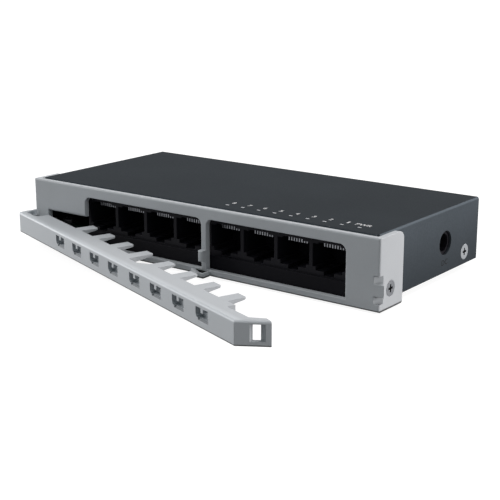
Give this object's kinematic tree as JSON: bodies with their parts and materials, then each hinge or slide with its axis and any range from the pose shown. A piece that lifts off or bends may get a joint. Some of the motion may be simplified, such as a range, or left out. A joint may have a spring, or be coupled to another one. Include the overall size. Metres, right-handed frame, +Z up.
{
  "type": "ethernet switch",
  "caption": "Small desktop network switch in a folded steel case, with a grey front bezel and a hinged slotted bar that swings across the ports to hold their plugs.",
  "frame": {"origin": "on the surface the feet stand on, under the middle of the whole part's bounding box with the bar swung open as modelled", "axes": "+X to the right along the front, +Y to the back, +Z up"},
  "size_m": [0.1592, 0.1272, 0.0247],
  "materials": {
    "bezel_plastic": "satin grey",
    "bar_plastic": "satin light grey",
    "case_paint": "fine textured dark grey powder coat",
    "pan_paint": "fine textured black powder coat",
    "jack_plastic": "black",
    "contact_metal": "gold plated",
    "pin_metal": "nickel plated",
    "board_laminate": "green solder mask",
    "standoff_metal": "zinc plated",
    "board_screw_metal": "zinc plated",
    "clear_plastic": "clear, frosted",
    "led_lens": "pale lens",
    "module_plastic": "black moulding",
    "sink_aluminium": "clear anodised",
    "capacitor_sleeve": "bare can",
    "inductor_ferrite": "ferrite",
    "crystal_can": "drawn can",
    "bezel_screw_metal": "zinc plated",
    "cover_screw_metal": "bright zinc plated",
    "foot_rubber": "matt black"
  },
  "bodies": {
    "chassis": {"front_bezel": "bezel_plastic", "top_cover": "case_paint", "base_pan": "pan_paint", "port_block_left": "jack_plastic", "port_block_right": "jack_plastic", "dc_jack": "jack_plastic", "port_contacts_left": "contact_metal", "port_contacts_right": "contact_metal", "dc_jack_spring": "contact_metal", "dc_jack_pin": "pin_metal", "circuit_board": "board_laminate", "board_standoffs": "standoff_metal", "board_screws": "board_screw_metal", "light_pipe": "clear_plastic", "status_leds": "led_lens", "magnetics": "module_plastic", "switch_chip": "module_plastic", "voltage_regulator": "module_plastic", "memory_chip": "module_plastic", "heat_sink": "sink_aluminium", "electrolytic_capacitors": "capacitor_sleeve", "power_inductors": "inductor_ferrite", "clock_crystal": "crystal_can", "bezel_screws": "bezel_screw_metal", "cover_screws": "cover_screw_metal", "rubber_feet": "foot_rubber"},
    "lock_bar": {"cable_lock_bar": "bar_plastic"}
  },
  "joints": [
    {"name": "lock_bar_hinge", "type": "hinge", "parent": "chassis", "child": "lock_bar", "pos_m": [-0.07628, -0.00601, 0.0077], "axis": [0, 0, 1], "range_deg": [-22, 19.91]}
  ]
}
